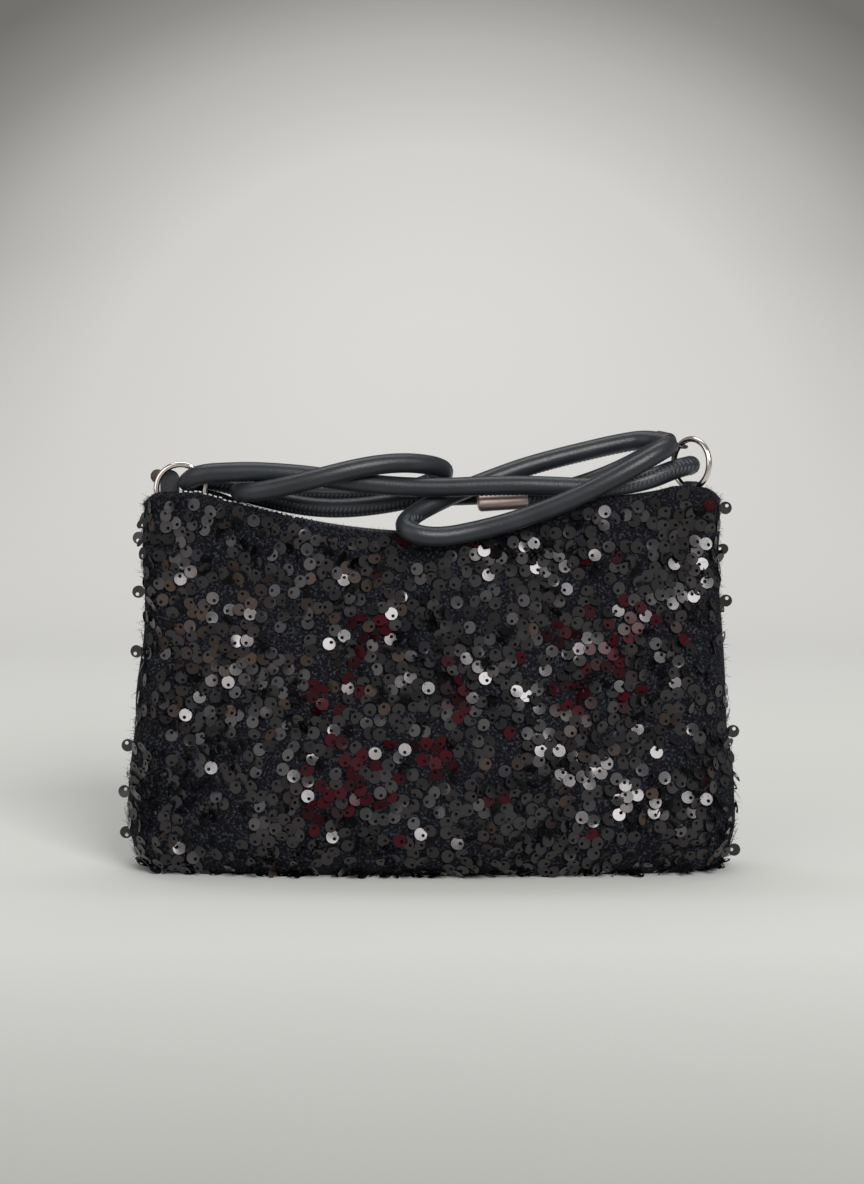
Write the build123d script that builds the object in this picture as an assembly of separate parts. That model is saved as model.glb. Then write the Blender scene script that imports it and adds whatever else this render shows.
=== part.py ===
from build123d import *
from math import asin, cos, degrees, pi, radians, sin, tan
import os

# A small evening pouch: a sequined body with a dipped mouth, a zip along the
# mouth, a ring at each top corner and one round leather cord doubled through
# the rings.  Millimetres, +Z up, front towards -Y.  The origin is on the
# surface the pouch stands on, under the middle of its body.

# ---------------------------------------------------------------- body
BODY_HALF_WIDTH = 131.5      # at the fullest height
BODY_HALF_DEPTH = 30.0       # at the fullest height
MOUTH_DIP_HEIGHT = 146.0     # lowest point of the mouth, in the middle
MOUTH_RADIUS = 280.0         # the dipped mouth is one arc of this radius
LEFT_CORNER_HEIGHT = 164.0   # the left top corner has slumped a little
RIGHT_CORNER_HEIGHT = 165.9
SHELL_WALL = 1.8             # sequined net on its backing cloth
LINING_WALL = 0.7
LAYER_GAP = 0.3              # air between layers of cloth
LINING_DROP = 7.0            # the lining ends this far below the mouth

# The body's shape from the floor up: height in mm, then the half width and the
# half depth there as shares of the fullest ones, and the depth of the round
# side ends as a share of the depth in the middle.
BODY_STATIONS = (
    (0.0, 0.885, 0.56, 0.70),
    (4.0, 0.955, 0.80, 0.70),
    (13.0, 0.990, 0.95, 0.70),
    (35.0, 1.000, 1.00, 0.70),
    (68.0, 0.973, 0.81, 0.72),
    (100.0, 0.953, 0.56, 0.76),
    (130.0, 0.945, 0.36, 0.82),
    (150.0, 0.942, 0.283, 0.88),
    (176.0, 0.937, 0.255, 0.92),
)

# ---------------------------------------------------------------- rings and leather
RING_WIRE_RADIUS = 1.25
RING_RADIUS = 10.4           # to the middle of the wire
CORNER_HALF_WIDTH = BODY_HALF_WIDTH * 0.94
LEFT_RING_X = -(CORNER_HALF_WIDTH - 15.4)
RIGHT_RING_X = CORNER_HALF_WIDTH - 12.1
LEFT_RING_Z = LEFT_CORNER_HEIGHT - 9.3        # middle of the wire at the ring's foot
RIGHT_RING_Z = RIGHT_CORNER_HEIGHT - 0.3
LEFT_RING_YAW = 0.0
RIGHT_RING_YAW = -51.0
TAB_LOOP_WIDTH = 5.6
TAB_LOOP_WALL = 1.3
TAB_LOOP_CLEARANCE = 0.2
TAB_STEM_THICKNESS = 3.0
TAB_DROP = 4.6               # from the ring's foot down to the base leather
TAB_THICKNESS = 1.6
TAB_HALF_DEPTH = 4.0
TAB_HALF_LENGTH = 8.5
TAB_SHIFT = 2.5              # the base leather's middle is this much nearer the bag's middle

TONGUE_HALF_WIDTH = 4.1      # round-ended leather tongue behind the left ring
TONGUE_THICKNESS = 1.4
TONGUE_HEIGHT = 23.2         # from the base leather to the top
TONGUE_LEAN = 4.5            # degrees, leaning back
TONGUE_OUTWARDS = 5.2        # from the left ring's middle
TONGUE_Y = 3.15

# ---------------------------------------------------------------- zip
ZIP_LEFT_END = -LEFT_RING_X - 28.2            # first tooth, measured left of the middle
ZIP_RECESS = 0.6             # middle of the teeth below the mouth's edge
TAPE_THICKNESS = 0.8
TAPE_EDGE = 0.9              # inner edge of each tape from the middle
TAPE_REACH = 5.4             # outer face of the tape from the middle
TAPE_LEG = 5.4               # depth of the tape's sewn leg
TAPE_OVERRUN = 9.0           # tape beyond the last tooth
TOOTH_PITCH = 1.5
TOOTH_THICKNESS = 0.6
TOOTH_HEIGHT = 2.6
TOOTH_BITE = 0.7             # how far a tooth crosses the middle line
TOOTH_TAPE_GAP = 0.15        # between a tooth's notch and the tape's edge
TOOTH_LAP = 0.1              # how far a tooth runs into its bead
BEAD_INNER = 1.5             # the bead that carries the teeth
BEAD_OUTER = 2.6
STOP_LENGTH = 2.4
STOP_GAP = 0.3
STOP_LIP = 0.4               # a stop's fold over the tape's edge

SLIDER_LENGTH = 10.0
SLIDER_HALF_WIDTH = 4.1
SLIDER_PLATE = 1.1
SLIDER_CLEARANCE = 0.25      # between the slider and the teeth or the tape
SLIDER_CORNER = 1.8
SLIDER_REST_X = RIGHT_RING_X - 39.5
WEDGE_START = 2.3            # the post that parts the teeth, right of the slider's middle
WEDGE_LENGTH = 2.3
WEDGE_HALF_WIDTH = 0.75
BAIL_WIDTH = 1.4
BAIL_HALF_LENGTH = 2.5
BAIL_WALL = 1.1
BAIL_ROOF = 0.9
PIN_RADIUS = 0.55            # the puller's cross bar, and half the puller's thickness
PIN_CLEARANCE = 0.2
PULLER_LENGTH = 12.0
PULLER_WIDTH = 5.6
PULLER_WINDOW_LENGTH = 3.2
PULLER_WINDOW_WIDTH = 2.2
PULLER_CORNER = 2.2

# ---------------------------------------------------------------- strap
CORD_DIAMETER = 8.4
CUP_BORE = 3.4               # bore of the metal cups on the cord's ends
CAP_RADIUS = 4.7
CAP_WALL = 0.7
CAP_DEPTH = 7.0
CAP_BOSS = 2.0
EYE_WIRE_RADIUS = 0.7
EYE_RADIUS = 3.0             # to the middle of its wire
FERRULE_RADIUS = 4.0
FERRULE_LENGTH = 21.8
FERRULE_BORE_DEPTH = 14.0

# The cord's route, from the end cap on the right ring to the ferrule.
STRAP_POINTS = [
    (98.7, 14.7, 185.4), (94.1, 19.8, 186.5), (81.2, 19.4, 184.4), (67.2, 17.4, 181.2),
    (52.8, 15.2, 177.7), (38.9, 12.2, 173.8), (27.9, 9.3, 169.9), (16.9, 5.8, 165.8),
    (7.1, 1.4, 161.9), (-0.6, -3.6, 158.2), (-6.4, -7.4, 155.2), (-10.4, -11.2, 152.2),
    (-11.8, -15.4, 149.6), (-9.2, -18.8, 147.2), (-3.0, -19.4, 145.5), (6.2, -17.2, 145.3),
    (19.3, -15.4, 147.8), (32.6, -15.6, 151.2), (45.3, -16.2, 155.6), (57.9, -17.0, 160.6),
    (69.7, -17.5, 166.3), (81.1, -17.0, 172.5), (91.0, -15.0, 178.0), (98.3, -11.0, 182.2),
    (102.0, -4.6, 183.8), (98.6, 2.2, 182.3), (91.9, 7.2, 178.7), (85.1, 11.2, 174.7),
    (76.5, 12.8, 170.7), (67.0, 13.8, 167.1), (57.0, 15.0, 164.2), (44.8, 15.8, 162.5),
    (31.6, 15.9, 162.0), (19.7, 14.9, 161.9), (9.4, 12.2, 161.6), (-0.6, 7.6, 161.5),
    (-10.9, 6.3, 160.1), (-23.0, 6.4, 157.9), (-36.9, 7.0, 156.4), (-50.9, 7.5, 156.7),
    (-63.1, 7.6, 158.6), (-74.3, 6.4, 161.3), (-81.7, 1.8, 163.6), (-82.9, -5.0, 163.9),
    (-78.3, -11.2, 163.7), (-69.0, -15.2, 164.9), (-57.0, -17.2, 167.7), (-44.4, -17.0, 171.0),
    (-32.6, -15.0, 173.9), (-21.7, -11.4, 175.8), (-11.5, -7.2, 176.4), (-2.8, -3.2, 175.7),
    (3.6, 2.4, 174.2), (5.8, 9.5, 172.0), (2.4, 16.2, 168.8), (-6.6, 18.8, 165.0),
    (-18.9, 18.0, 162.6), (-33.0, 17.0, 161.9), (-47.0, 16.6, 162.2), (-60.2, 17.0, 162.6),
    (-72.8, 16.4, 163.4), (-84.0, 13.2, 165.4), (-92.8, 10.0, 167.8), (-99.8, 8.5, 169.0),
    (-105.0, 3.2, 167.9), (-105.0, -2.6, 167.9), (-101.4, -7.0, 170.5), (-95.6, -8.6, 172.0),
    (-87.6, -8.4, 172.4), (-77.0, -8.2, 172.7), (-64.8, -8.5, 172.1), (-51.6, -8.2, 170.9),
    (-38.0, -8.0, 168.8), (-24.3, -8.3, 167.1), (-9.8, -8.0, 166.0), (5.6, -8.2, 165.8),
    (20.9, -7.9, 166.5), (36.3, -8.2, 166.9), (51.7, -8.0, 166.4), (67.0, -8.3, 165.7),
    (80.4, -8.0, 166.6), (90.6, -6.9, 168.6), (98.4, -4.3, 171.4), (104.6, -1.4, 173.6),
    (110.2, 2.4, 174.9), (112.8, 8.0, 175.2), (110.4, 13.8, 174.4), (104.6, 16.2, 172.4),
    (98.4, 14.0, 169.8), (91.4, 9.6, 167.9), (83.4, 6.0, 166.5), (72.6, 3.6, 164.4),
    (60.0, 2.6, 162.1), (49.2, 2.1, 160.9), (41.3, 2.0, 160.4),
]

# ---------------------------------------------------------------- worked out
LEFT_RING = (LEFT_RING_X, 0.0, LEFT_RING_Z)
RIGHT_RING = (RIGHT_RING_X, 0.0, RIGHT_RING_Z)
MOUTH_CENTRE_HEIGHT = MOUTH_DIP_HEIGHT + MOUTH_RADIUS
MOUTH_AXIS = Axis((0, 0, MOUTH_CENTRE_HEIGHT), (0, 1, 0))
ZIP_RADIUS = MOUTH_RADIUS + ZIP_RECESS
ZIP_RIGHT_END = SLIDER_REST_X + WEDGE_START - STOP_GAP   # last tooth, right of the middle
SLIDER_TOP = TOOTH_HEIGHT / 2 + SLIDER_CLEARANCE + SLIDER_PLATE
PIN_HEIGHT = SLIDER_TOP + PIN_CLEARANCE + PIN_RADIUS     # above the middle of the teeth
FAR = 500.0                  # well beyond anything here


def node(shape, name, colour):
    """Write one piece to its own STEP file."""
    shape.label = name
    shape.color = Color(*colour)
    export_step(shape, f"parts/{name}.step")


# ---------------------------------------------------------------- cloth body
def body_section(height, width_share, depth_share, end_share, inset):
    """One level outline, drawn in by inset: two bowed sides and two round ends."""
    half_width = BODY_HALF_WIDTH * width_share - inset
    half_depth = BODY_HALF_DEPTH * depth_share - inset
    end_depth = BODY_HALF_DEPTH * depth_share * end_share - inset
    shoulder = half_width - end_depth
    raised = inset + height * (1 - inset / BODY_STATIONS[-1][0])
    with BuildSketch(Plane.XY.offset(raised)) as section:
        with BuildLine():
            ThreePointArc((-shoulder, -end_depth), (0, -half_depth), (shoulder, -end_depth))
            ThreePointArc((shoulder, -end_depth), (half_width, 0), (shoulder, end_depth))
            ThreePointArc((shoulder, end_depth), (0, half_depth), (-shoulder, end_depth))
            ThreePointArc((-shoulder, end_depth), (-half_width, 0), (-shoulder, -end_depth))
        make_face()
    return section.sketch


def body_solid(inset):
    return loft([body_section(*station, inset) for station in BODY_STATIONS])


def below_mouth(drop):
    """Everything lower than the mouth's edge by at least drop."""
    radius = MOUTH_RADIUS + drop
    left_height = LEFT_CORNER_HEIGHT - drop
    right_height = RIGHT_CORNER_HEIGHT - drop
    left_x = -((radius ** 2 - (MOUTH_CENTRE_HEIGHT - left_height) ** 2) ** 0.5)
    right_x = (radius ** 2 - (MOUTH_CENTRE_HEIGHT - right_height) ** 2) ** 0.5
    lowest = (0, MOUTH_CENTRE_HEIGHT - radius)
    with BuildPart() as block:
        with BuildSketch(Plane.XZ):
            with BuildLine():
                Polyline((left_x, left_height), (-FAR, left_height), (-FAR, -FAR), (FAR, -FAR),
                         (FAR, right_height), (right_x, right_height))
                ThreePointArc((right_x, right_height), lowest, (left_x, left_height))
            make_face()
        extrude(amount=FAR, both=True)
    return block.part


def half_space(side):
    """Everything in front of the middle plane (side -1) or behind it (side 1)."""
    return Pos(0, side * FAR / 2, 0) * Box(2 * FAR, FAR, 2 * FAR)


def cloth_layer(outer_inset, wall, drop):
    """A bag of even wall, open along the mouth."""
    return (body_solid(outer_inset) - body_solid(outer_inset + wall)) & below_mouth(drop)


# ---------------------------------------------------------------- zip
def along_zip(profile, left_x, right_x):
    """Turn a cross-section about the mouth's centre, from left_x to right_x.

    Its points are (distance from the middle plane, height above the middle of the teeth)."""
    left_angle = degrees(asin(left_x / ZIP_RADIUS))
    right_angle = degrees(asin(right_x / ZIP_RADIUS))
    base = MOUTH_CENTRE_HEIGHT - ZIP_RADIUS
    with BuildSketch(Plane.YZ) as section:
        with BuildLine():
            Polyline(*[(y, base + z) for y, z in profile], close=True)
        make_face()
    start = section.sketch.rotate(MOUTH_AXIS, -left_angle)
    return revolve(start, MOUTH_AXIS.reverse(), right_angle - left_angle)


def onto_zip(shape, x):
    """Move a shape drawn at the origin, teeth along X, to x millimetres along the mouth."""
    placed = Pos(0, 0, MOUTH_CENTRE_HEIGHT - ZIP_RADIUS) * shape
    return placed.rotate(MOUTH_AXIS, -degrees(asin(x / ZIP_RADIUS)))


def zip_tape(side):
    """A flat tape with a leg turned down inside the mouth, where it is sewn."""
    half = TAPE_THICKNESS / 2
    bottom = half - TAPE_LEG
    inner = TAPE_REACH - TAPE_THICKNESS
    profile = [(TAPE_EDGE, half), (TAPE_REACH, half), (TAPE_REACH, bottom),
               (inner, bottom), (inner, -half), (TAPE_EDGE, -half)]
    return along_zip([(side * y, z) for y, z in profile],
                     -ZIP_LEFT_END - TAPE_OVERRUN, ZIP_RIGHT_END + TAPE_OVERRUN)


def zip_teeth(side):
    """A row of teeth on a bead above and a bead below the tape."""
    half = TAPE_THICKNESS / 2
    top = TOOTH_HEIGHT / 2
    beads = []
    for sign in (-1, 1):
        profile = [(side * BEAD_INNER, sign * half), (side * BEAD_OUTER, sign * half),
                   (side * BEAD_OUTER, sign * top), (side * BEAD_INNER, sign * top)]
        beads.append(along_zip(profile, -ZIP_LEFT_END, ZIP_RIGHT_END))
    blade_width = BEAD_INNER + TOOTH_LAP + TOOTH_BITE
    blade_y = side * (blade_width / 2 - TOOTH_BITE)
    blade = Pos(0, blade_y, 0) * Box(TOOTH_THICKNESS, blade_width, TOOTH_HEIGHT)
    notch_edge = TAPE_EDGE - TOOTH_TAPE_GAP
    blade -= Pos(0, side * (notch_edge + FAR / 2), 0) * Box(FAR, FAR, TAPE_THICKNESS)
    stagger = TOOTH_PITCH / 4 * (2 + side)
    room = ZIP_LEFT_END + ZIP_RIGHT_END - stagger - TOOTH_THICKNESS
    count = int(room / TOOTH_PITCH) + 1
    teeth = [onto_zip(blade, stagger + index * TOOTH_PITCH - ZIP_LEFT_END) for index in range(count)]
    return beads[0].fuse(beads[1], *teeth)


def zip_top_stops():
    """A clip folded round each tape's edge, just past the slider at rest."""
    half = TAPE_THICKNESS / 2
    top = TOOTH_HEIGHT / 2
    lip = TAPE_EDGE - STOP_LIP
    profile = [(BEAD_OUTER, top), (lip, top), (lip, -top), (BEAD_OUTER, -top),
               (BEAD_OUTER, -half), (TAPE_EDGE, -half), (TAPE_EDGE, half), (BEAD_OUTER, half)]
    left = SLIDER_REST_X + SLIDER_LENGTH / 2 + STOP_GAP
    clips = [along_zip([(side * y, z) for y, z in profile], left, left + STOP_LENGTH)
             for side in (-1, 1)]
    return Compound(children=clips)


def zip_bottom_stop():
    """One clamp that holds both tapes together past the first tooth."""
    half = TAPE_THICKNESS / 2
    top = TOOTH_HEIGHT / 2
    one_side = [(BEAD_OUTER, top), (BEAD_OUTER, half), (TAPE_EDGE, half),
                (TAPE_EDGE, -half), (BEAD_OUTER, -half), (BEAD_OUTER, -top)]
    other_side = [(-y, -z) for y, z in one_side]
    right = -ZIP_LEFT_END - STOP_GAP
    return along_zip(one_side + other_side, right - STOP_LENGTH, right)


def zip_slider():
    """Two plates joined by a post, with side flanges that leave a slot for the tapes."""
    outer = Box(SLIDER_LENGTH, 2 * SLIDER_HALF_WIDTH, 2 * SLIDER_TOP)
    outer = fillet(outer.edges().filter_by(Axis.Z), SLIDER_CORNER)
    channel = Box(FAR, 2 * (BEAD_OUTER + SLIDER_CLEARANCE), 2 * (SLIDER_TOP - SLIDER_PLATE))
    slot = Box(FAR, FAR, TAPE_THICKNESS + 2 * SLIDER_CLEARANCE)
    post_x = WEDGE_START + WEDGE_LENGTH / 2
    post = Pos(post_x, 0, 0) * Box(WEDGE_LENGTH, 2 * WEDGE_HALF_WIDTH, 2 * SLIDER_TOP - SLIDER_PLATE)
    hole_height = 2 * (PIN_RADIUS + PIN_CLEARANCE)
    arch_height = hole_height + BAIL_ROOF
    arch = Pos(0, 0, SLIDER_TOP + arch_height / 2) * Box(2 * BAIL_HALF_LENGTH, BAIL_WIDTH, arch_height)
    arch = fillet(arch.edges().filter_by(Axis.Y).sort_by(Axis.Z)[-2:], BAIL_ROOF)
    hole_x = BAIL_HALF_LENGTH - BAIL_WALL
    hole = Pos(0, 0, SLIDER_TOP + hole_height / 2) * Box(2 * hole_x, FAR, hole_height)
    return onto_zip(outer - channel - slot + post + (arch - hole), SLIDER_REST_X)


def zip_puller():
    """A flat puller whose end bar turns in the slider's arch; at rest it lies to the right."""
    plate = Pos(PULLER_LENGTH / 2, 0, 0) * Box(PULLER_LENGTH, PULLER_WIDTH, 2 * PIN_RADIUS)
    plate = fillet(plate.edges().filter_by(Axis.Z).sort_by(Axis.X)[-2:], PULLER_CORNER)
    window_x = PIN_RADIUS + PULLER_WINDOW_LENGTH / 2
    window = Pos(window_x, 0, 0) * Box(PULLER_WINDOW_LENGTH, PULLER_WINDOW_WIDTH, FAR)
    bar = Rot(90, 0, 0) * Cylinder(PIN_RADIUS, PULLER_WIDTH)
    return onto_zip(Pos(0, 0, PIN_HEIGHT) * (plate - window + bar), SLIDER_REST_X)


# ---------------------------------------------------------------- rings and leather
def ring(foot, yaw, wire_radius=RING_WIRE_RADIUS):
    """A ring that stands on its foot and faces -Y before it is turned by yaw."""
    upright = Pos(0, 0, RING_RADIUS) * Rot(90, 0, 0) * Torus(RING_RADIUS, wire_radius)
    return Pos(*foot) * Rot(0, 0, yaw) * upright


def ring_tab(foot, yaw, inward):
    """Leather base inside the corner, with a loop folded round the ring's foot."""
    outer = RING_WIRE_RADIUS + TAB_LOOP_CLEARANCE + TAB_LOOP_WALL
    barrel = Rot(0, 90, 0) * Cylinder(outer, TAB_LOOP_WIDTH)
    stem = Pos(0, 0, -TAB_DROP / 2) * Box(TAB_LOOP_WIDTH, TAB_STEM_THICKNESS, TAB_DROP)
    loop = Pos(*foot) * Rot(0, 0, yaw) * (barrel + stem)
    base = Box(2 * TAB_HALF_LENGTH, 2 * TAB_HALF_DEPTH, TAB_THICKNESS)
    base = fillet(base.edges().filter_by(Axis.Z), TAB_THICKNESS)
    base_height = foot[2] - TAB_DROP - TAB_THICKNESS / 2
    placed_base = Pos(foot[0] + inward * TAB_SHIFT, foot[1], base_height) * base
    return loop + placed_base - ring(foot, yaw, RING_WIRE_RADIUS + TAB_LOOP_CLEARANCE)


def zip_tongue():
    """A round-ended leather tongue that stands on the base leather behind the left ring."""
    head_height = TONGUE_HEIGHT - TONGUE_HALF_WIDTH
    with BuildPart() as tongue:
        with BuildSketch(Plane.XZ):
            with Locations((0, head_height)):
                Circle(TONGUE_HALF_WIDTH)
            with Locations((0, head_height / 2)):
                Rectangle(2 * TONGUE_HALF_WIDTH, head_height)
        extrude(amount=TONGUE_THICKNESS / 2, both=True)
    leaning = Rot(-TONGUE_LEAN, 0, 0) * tongue.part
    sunk_edge = TONGUE_THICKNESS / 2 * sin(radians(TONGUE_LEAN))
    above_base = Pos(0, 0, sunk_edge + FAR / 2) * Box(FAR, FAR, FAR)
    base_top = LEFT_RING_Z - TAB_DROP
    foot = Pos(LEFT_RING_X - TONGUE_OUTWARDS, TONGUE_Y, base_top - sunk_edge)
    return foot * (leaning & above_base)


# ---------------------------------------------------------------- strap
def bend_radii(points):
    """Each bend as large as its two runs allow."""
    radii = []
    for before, here, after in zip(points, points[1:], points[2:]):
        run_in = here - before
        run_out = after - here
        half_turn = radians(run_in.get_angle(run_out)) / 2
        radii.append(0.45 * min(run_in.length, run_out.length) / tan(half_turn))
    return radii


def strap():
    """The free cord as one round tube along its route."""
    points = [Vector(*point) for point in STRAP_POINTS]
    radii = bend_radii(points)
    print("strap bend radii, mm:", " ".join(f"{radius:.1f}" for radius in radii))
    path = FilletPolyline(*points, radius=radii)
    start = Plane(origin=points[0], z_dir=points[1] - points[0])
    tube = sweep(start * Circle(CORD_DIAMETER / 2), path=path)
    expected = pi * (CORD_DIAMETER / 2) ** 2 * path.length
    print(f"strap length {path.length:.1f} mm, volume {tube.volume:.1f}, section x length {expected:.1f}")
    return tube


def strap_end_cap():
    """A cup on the cord's end, with a small round eye that holds the right ring."""
    end, following = (Vector(*point) for point in STRAP_POINTS[:2])
    along = (end - following).normalized()
    cup_height = CAP_DEPTH + CAP_WALL
    cup = Pos(0, 0, cup_height / 2) * Cylinder(CAP_RADIUS, cup_height)
    cup = fillet(cup.edges().sort_by(Axis.Z)[-1], CAP_RADIUS / 3)
    seat = Pos(0, 0, CAP_DEPTH / 2) * Cylinder(CUP_BORE, CAP_DEPTH)
    boss = Pos(0, 0, cup_height + CAP_BOSS / 2) * Cylinder(2 * EYE_WIRE_RADIUS, CAP_BOSS)
    eye = Pos(0, 0, cup_height + CAP_BOSS + EYE_RADIUS) * Rot(90, 0, 0) * Torus(EYE_RADIUS, EYE_WIRE_RADIUS)
    swing = Vector(-sin(radians(RIGHT_RING_YAW)), cos(radians(RIGHT_RING_YAW)), 0)
    across = swing - along * swing.dot(along)
    return Plane(origin=end, x_dir=across, z_dir=along) * (cup - seat + boss + eye)


def strap_ferrule():
    """A metal tube with a closed round nose on the cord's free end."""
    before, end = (Vector(*point) for point in STRAP_POINTS[-2:])
    body = Pos(0, 0, FERRULE_LENGTH / 2) * Cylinder(FERRULE_RADIUS, FERRULE_LENGTH)
    body = fillet(body.edges().sort_by(Axis.Z)[-1], FERRULE_RADIUS / 2)
    bore = Pos(0, 0, FERRULE_BORE_DEPTH / 2) * Cylinder(CUP_BORE, FERRULE_BORE_DEPTH)
    return Plane(origin=end, z_dir=end - before) * (body - bore)


# ---------------------------------------------------------------- write the pieces
BLACK = (0.05, 0.05, 0.06)
DARK = (0.12, 0.12, 0.14)
CLOTH = (0.2, 0.2, 0.24)
METAL = (0.75, 0.73, 0.7)

os.makedirs("parts", exist_ok=True)
shell = cloth_layer(0.0, SHELL_WALL, 0.0)
lining = cloth_layer(SHELL_WALL + LAYER_GAP, LINING_WALL, LINING_DROP)
for side, word in ((-1, "front"), (1, "back")):
    node(shell & half_space(side), f"shell_{word}", BLACK)
    node(lining & half_space(side), f"lining_{word}", CLOTH)
    node(zip_tape(side), f"zip_tape_{word}", DARK)
    node(zip_teeth(side), f"zip_teeth_{word}", DARK)
node(zip_top_stops(), "zip_top_stops", METAL)
node(zip_bottom_stop(), "zip_bottom_stop", METAL)
node(zip_slider(), "zip_slider", METAL)
node(zip_puller(), "zip_puller", METAL)
node(ring(LEFT_RING, LEFT_RING_YAW), "ring_left", METAL)
node(ring(RIGHT_RING, RIGHT_RING_YAW), "ring_right", METAL)
node(ring_tab(LEFT_RING, LEFT_RING_YAW, 1), "ring_tab_left", DARK)
node(ring_tab(RIGHT_RING, RIGHT_RING_YAW, -1), "ring_tab_right", DARK)
node(zip_tongue(), "zip_tongue", DARK)
node(strap(), "strap", BLACK)
node(strap_end_cap(), "strap_end_cap", METAL)
node(strap_ferrule(), "strap_ferrule", METAL)
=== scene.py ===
import bpy
import numpy as np
from math import cos, pi, radians, sin
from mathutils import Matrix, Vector


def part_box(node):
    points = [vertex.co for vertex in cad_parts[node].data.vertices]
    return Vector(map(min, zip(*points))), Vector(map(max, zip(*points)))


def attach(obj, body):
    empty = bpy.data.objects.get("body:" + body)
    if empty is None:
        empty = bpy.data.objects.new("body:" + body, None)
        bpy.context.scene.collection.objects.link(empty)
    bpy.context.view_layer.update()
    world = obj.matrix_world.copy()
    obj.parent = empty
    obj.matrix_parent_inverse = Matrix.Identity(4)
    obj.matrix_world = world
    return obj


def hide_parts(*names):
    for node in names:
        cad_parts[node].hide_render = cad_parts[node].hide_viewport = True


# A small sequined evening pouch, +Z up, front towards -Y. Blender's own lengths are in
# metres. The cloth, sequins, fibres and strap are worked out in mm and scaled by MM.
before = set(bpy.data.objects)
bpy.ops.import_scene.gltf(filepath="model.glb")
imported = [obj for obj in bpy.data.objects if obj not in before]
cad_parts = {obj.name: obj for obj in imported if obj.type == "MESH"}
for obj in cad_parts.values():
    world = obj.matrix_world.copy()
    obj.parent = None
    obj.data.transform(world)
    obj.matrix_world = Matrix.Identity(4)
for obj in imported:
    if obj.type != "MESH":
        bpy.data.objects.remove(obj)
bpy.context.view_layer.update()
rng = np.random.default_rng(14)
MM = 0.001

# ---------------------------------------------------------------- camera
CAMERA_DISTANCE = 0.850
CAMERA_HEIGHT = 0.186
LOOK_AT_HEIGHT = 0.1205      # height of the frame's middle at the object
FOCAL_PIXELS = 1972.0        # at the photograph's own height of 1184 pixels
PHOTO_HEIGHT = 1184.0
SENSOR = 24.0

camera_data = bpy.data.cameras.new("camera")
camera = bpy.data.objects.new("camera", camera_data)
bpy.context.collection.objects.link(camera)
camera.location = (0.0, -CAMERA_DISTANCE, CAMERA_HEIGHT)
aim = Vector((0.0, 0.0, LOOK_AT_HEIGHT)) - camera.location
camera.rotation_euler = aim.to_track_quat("-Z", "Y").to_euler()
camera_data.sensor_fit = "VERTICAL"
camera_data.sensor_height = SENSOR
camera_data.lens = SENSOR * FOCAL_PIXELS / PHOTO_HEIGHT
camera_data.clip_end = 20.0
bpy.context.scene.camera = camera
bpy.context.scene.view_settings.view_transform = "Standard"


# ---------------------------------------------------------------- materials
def new_material(name, colour, roughness, metallic=0.0, coat=0.0):
    """A Principled material; returns the material, its nodes, its links and its shader."""
    material = bpy.data.materials.new(name)
    material.use_nodes = True
    nodes = material.node_tree.nodes
    links = material.node_tree.links
    shader = nodes["Principled BSDF"]
    shader.inputs["Base Color"].default_value = (*colour, 1.0)
    shader.inputs["Roughness"].default_value = roughness
    shader.inputs["Metallic"].default_value = metallic
    shader.inputs["Coat Weight"].default_value = coat
    return material, nodes, links, shader


def noise(nodes, links, scale, detail=3.0, stretch=(1.0, 1.0, 1.0)):
    """Object-space noise with features of about 1/scale metres."""
    place = nodes.new("ShaderNodeTexCoord")
    mapping = nodes.new("ShaderNodeMapping")
    mapping.inputs["Scale"].default_value = stretch
    texture = nodes.new("ShaderNodeTexNoise")
    texture.inputs["Scale"].default_value = scale
    texture.inputs["Detail"].default_value = detail
    links.new(place.outputs["Object"], mapping.inputs["Vector"])
    links.new(mapping.outputs["Vector"], texture.inputs["Vector"])
    return texture.outputs["Fac"]


def ramp(nodes, links, value, stops):
    """Colours by value; stops are (position, (r, g, b))."""
    colours = nodes.new("ShaderNodeValToRGB")
    elements = colours.color_ramp.elements
    while len(elements) < len(stops):
        elements.new(0.5)
    for element, (position, colour) in zip(elements, stops):
        element.position = position
        element.color = (*colour, 1.0)
    links.new(value, colours.inputs["Fac"])
    return colours.outputs["Color"]


def bump(nodes, links, shader, height, distance, strength=1.0):
    """Raise the surface by height, distance metres at most."""
    bumps = nodes.new("ShaderNodeBump")
    bumps.inputs["Distance"].default_value = distance
    bumps.inputs["Strength"].default_value = strength
    links.new(height, bumps.inputs["Height"])
    links.new(bumps.outputs["Normal"], shader.inputs["Normal"])


def net_material():
    """Black net with a fine broken grain."""
    material, nodes, links, shader = new_material("black_net", (0.01, 0.01, 0.012), 0.85)
    shader.inputs["Specular IOR Level"].default_value = 0.12
    grain = noise(nodes, links, 900.0, 4.0)
    stops = ((0.42, (0.001, 0.001, 0.002)), (0.54, (0.004, 0.0045, 0.007)),
             (0.68, (0.030, 0.033, 0.042)))
    links.new(ramp(nodes, links, grain, stops), shader.inputs["Base Color"])
    bump(nodes, links, shader, grain, 0.0006)
    return material


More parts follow.
